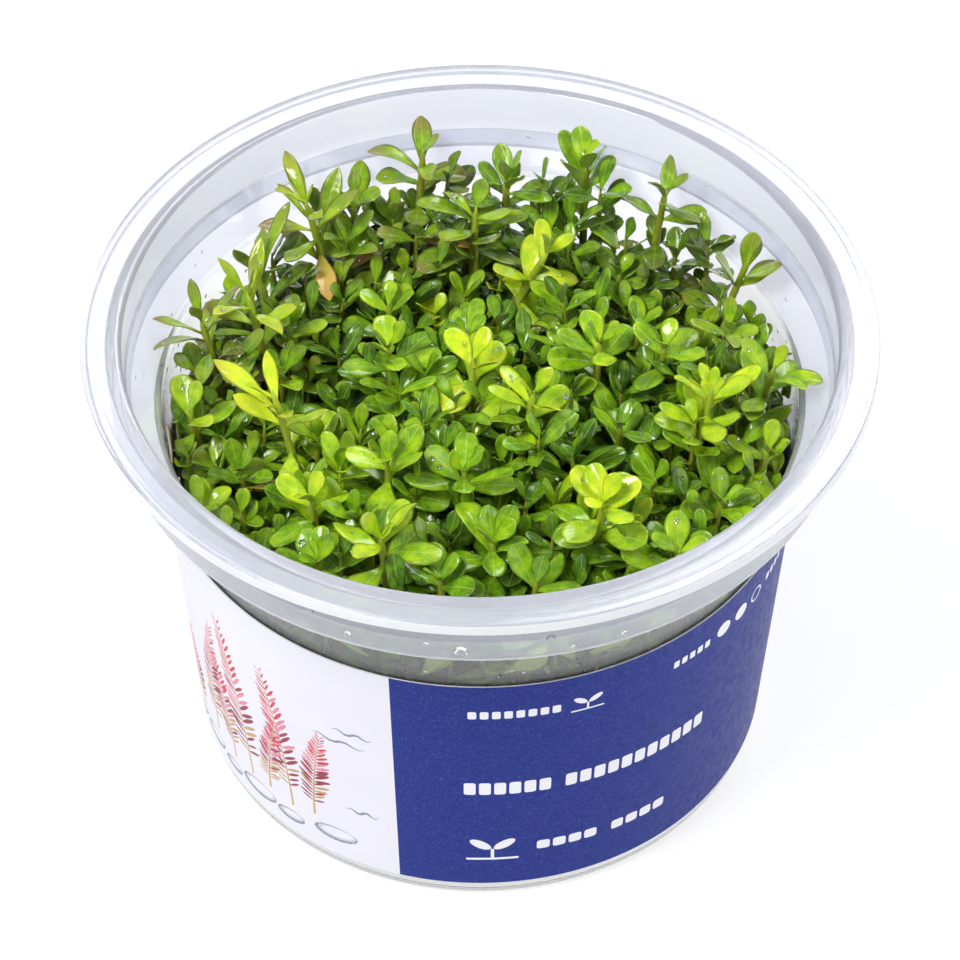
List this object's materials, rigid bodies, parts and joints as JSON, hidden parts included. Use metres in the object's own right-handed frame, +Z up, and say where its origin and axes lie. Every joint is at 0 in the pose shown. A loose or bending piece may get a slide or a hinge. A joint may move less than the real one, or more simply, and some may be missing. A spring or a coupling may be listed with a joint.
{
  "type": "potted rotala in a culture cup",
  "caption": "Young rotala shoots with small paired leaves growing from clear gel in a flanged, tapered clear plastic cup with a paper label round its wall.",
  "frame": {"origin": "centre of the cup's foot, on the surface that it stands on", "axes": "+Z up through the cup's mouth, -Y towards the side that the picture shows, +X to the right seen from there"},
  "size_m": [0.101, 0.101, 0.0671],
  "materials": {
    "clear_plastic": "clear polypropylene, slightly milky, with a soft sheen",
    "printed_paper": "coated label paper, satin, dark blue with a white panel",
    "agar": "wet clear nutrient gel, slightly cloudy",
    "foliage": "glossy wet leaves, yellow-green at the tips and dark green below"
  },
  "bodies": {
    "root": {"cup": "clear_plastic", "label": "printed_paper", "gel": "agar", "shoot_01": "foliage", "shoot_02": "foliage", "shoot_03": "foliage", "shoot_04": "foliage", "shoot_05": "foliage", "shoot_06": "foliage", "shoot_07": "foliage", "shoot_08": "foliage", "shoot_09": "foliage", "shoot_10": "foliage", "shoot_11": "foliage", "shoot_12": "foliage", "shoot_13": "foliage", "shoot_14": "foliage", "shoot_15": "foliage", "shoot_16": "foliage", "shoot_17": "foliage", "shoot_18": "foliage", "shoot_19": "foliage", "shoot_20": "foliage", "shoot_21": "foliage", "shoot_22": "foliage", "shoot_23": "foliage", "shoot_24": "foliage", "shoot_25": "foliage", "shoot_26": "foliage", "shoot_27": "foliage", "shoot_28": "foliage", "shoot_29": "foliage", "shoot_30": "foliage", "shoot_31": "foliage", "shoot_32": "foliage", "shoot_33": "foliage", "shoot_34": "foliage", "shoot_35": "foliage", "shoot_36": "foliage", "shoot_37": "foliage", "shoot_38": "foliage", "shoot_39": "foliage", "shoot_40": "foliage", "shoot_41": "foliage"}
  },
  "joints": []
}
